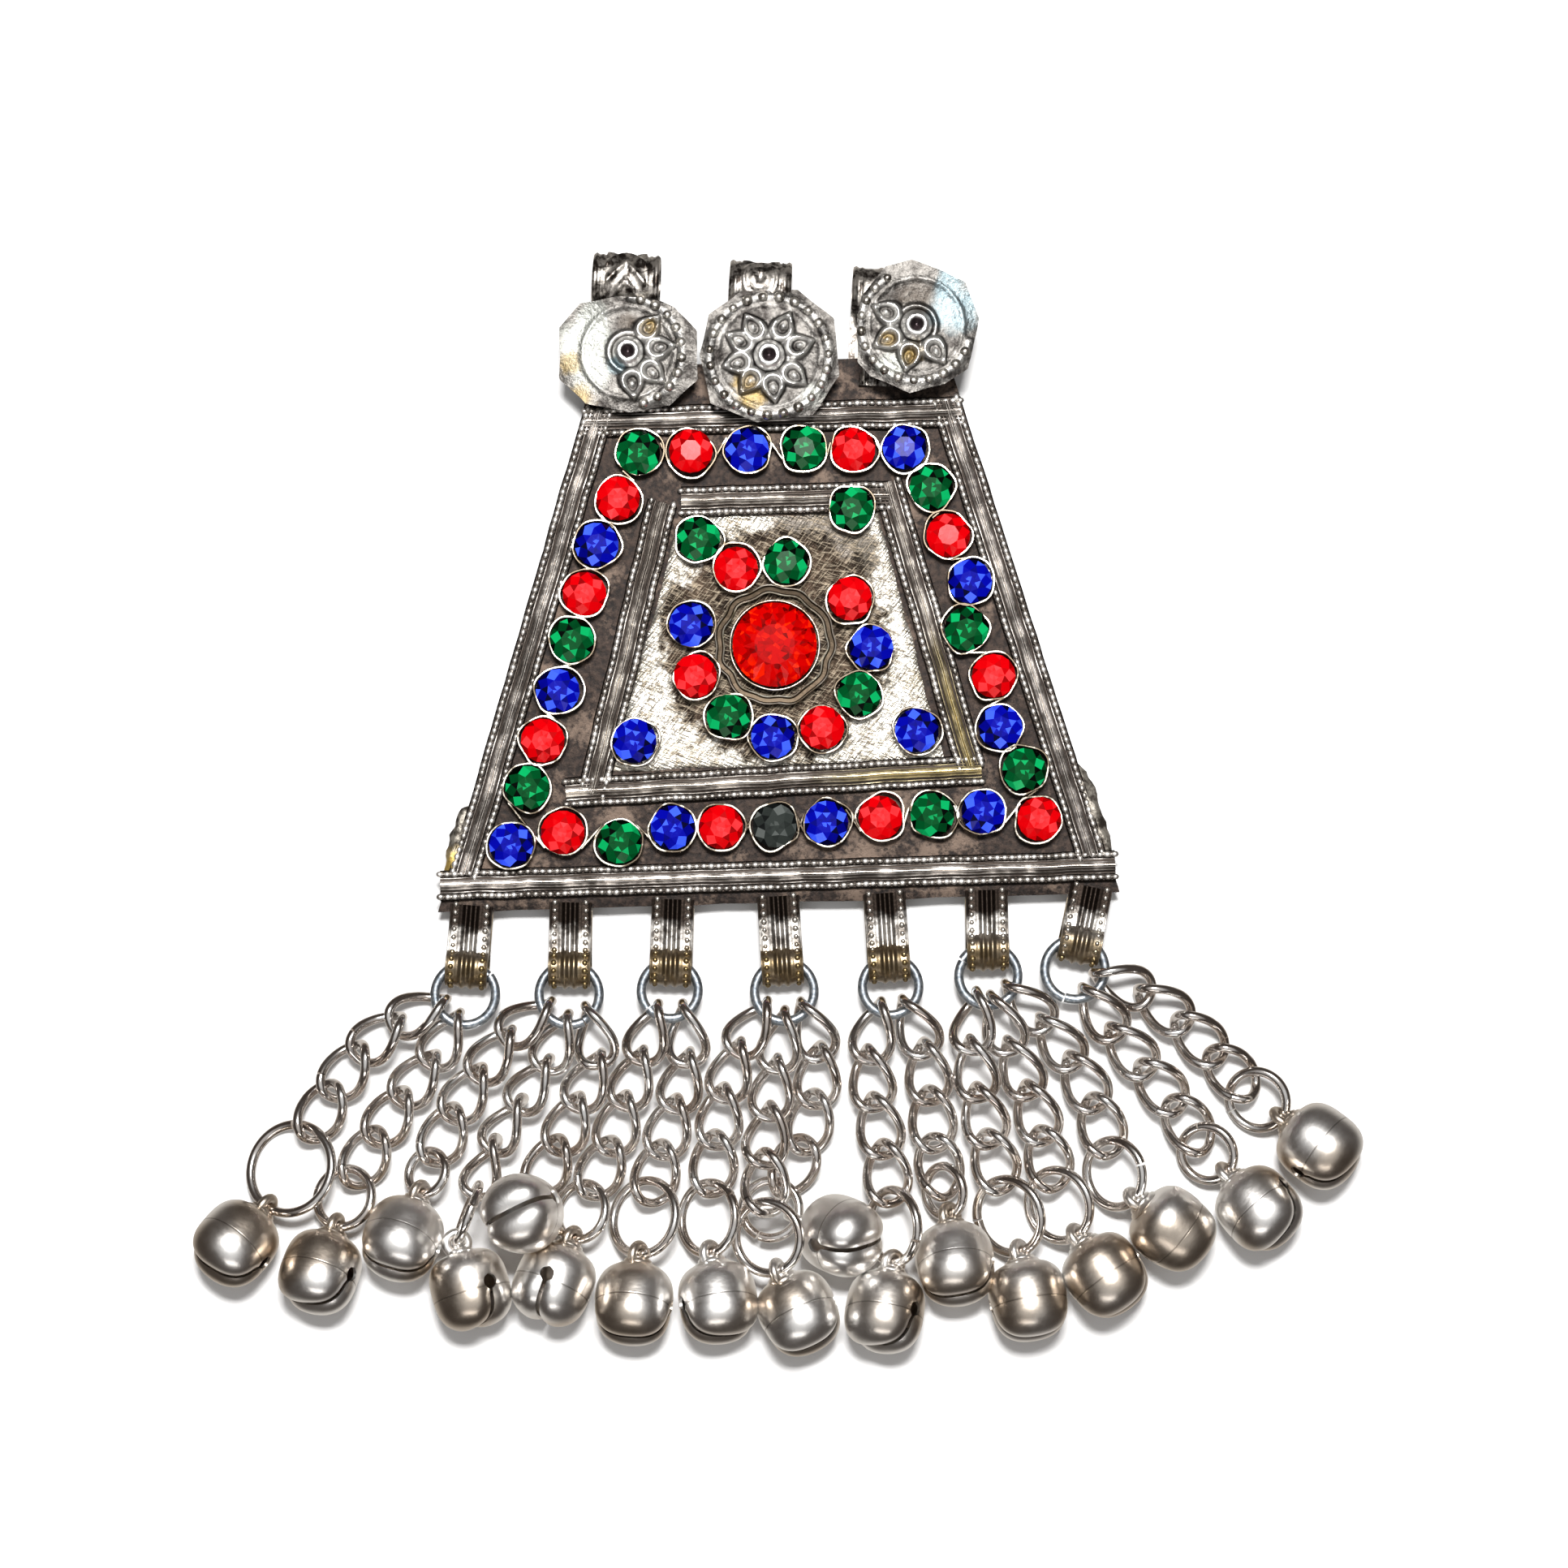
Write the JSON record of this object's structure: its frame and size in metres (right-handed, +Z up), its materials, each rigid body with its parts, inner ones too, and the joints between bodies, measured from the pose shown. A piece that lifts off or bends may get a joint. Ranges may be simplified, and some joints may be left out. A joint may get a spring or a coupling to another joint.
{
  "type": "pendant",
  "caption": "Large nomad style metal pendant with three bails, rosette discs, strip-set coloured glass stones, and a fringe of short curb chains with slit jingle bells, lying face up.",
  "frame": {"origin": "on the surface that the pendant lies on, under the middle of its whole box", "axes": "+X across the pendant to the picture's right, +Y from the bells to the bails, +Z up out of its face"},
  "size_m": [0.1213, 0.115, 0.0117],
  "materials": {
    "plate_metal": "tarnished white metal, dark in the recesses",
    "hanger_metal": "tarnished white metal with brassy patches",
    "loop_metal": "worn plating, brassy where it has rubbed through",
    "jump_ring_metal": "dull zinc grey",
    "chain_metal": "bright warm nickel",
    "bell_metal": "satin nickel",
    "red_glass": "foil backed cut glass, opaque from the front",
    "green_glass": "foil backed cut glass, opaque from the front",
    "blue_glass": "foil backed cut glass, opaque from the front",
    "dark_glass": "smoky cut glass with its foil gone",
    "centre_glass": "large foil backed cut glass"
  },
  "bodies": {
    "root": {"base_plate": "plate_metal", "hanger_left": "hanger_metal", "hanger_middle": "hanger_metal", "hanger_right": "hanger_metal", "loop_1": "loop_metal", "jump_ring_1": "jump_ring_metal", "loop_2": "loop_metal", "jump_ring_2": "jump_ring_metal", "loop_3": "loop_metal", "jump_ring_3": "jump_ring_metal", "loop_4": "loop_metal", "jump_ring_4": "jump_ring_metal", "loop_5": "loop_metal", "jump_ring_5": "jump_ring_metal", "loop_6": "loop_metal", "jump_ring_6": "jump_ring_metal", "loop_7": "loop_metal", "jump_ring_7": "jump_ring_metal", "red_stones": "red_glass", "green_stones": "green_glass", "blue_stones": "blue_glass", "dark_stones": "dark_glass", "centre_stone": "centre_glass", "chain_1a": "chain_metal", "bell_1a": "bell_metal", "chain_1b": "chain_metal", "bell_1b": "bell_metal", "chain_2a": "chain_metal", "bell_2a": "bell_metal", "chain_2b": "chain_metal", "bell_2b": "bell_metal", "chain_2c": "chain_metal", "bell_2c": "bell_metal", "chain_3a": "chain_metal", "bell_3a": "bell_metal", "chain_3b": "chain_metal", "bell_3b": "bell_metal", "chain_4a": "chain_metal", "bell_4a": "bell_metal", "chain_4b": "chain_metal", "bell_4b": "bell_metal", "chain_4c": "chain_metal", "bell_4c": "bell_metal", "chain_5a": "chain_metal", "bell_5a": "bell_metal", "chain_5b": "chain_metal", "bell_5b": "bell_metal", "chain_6a": "chain_metal", "bell_6a": "bell_metal", "chain_6b": "chain_metal", "bell_6b": "bell_metal", "chain_6c": "chain_metal", "bell_6c": "bell_metal", "chain_7a": "chain_metal", "bell_7a": "bell_metal", "chain_7b": "chain_metal", "bell_7b": "bell_metal"}
  },
  "joints": []
}
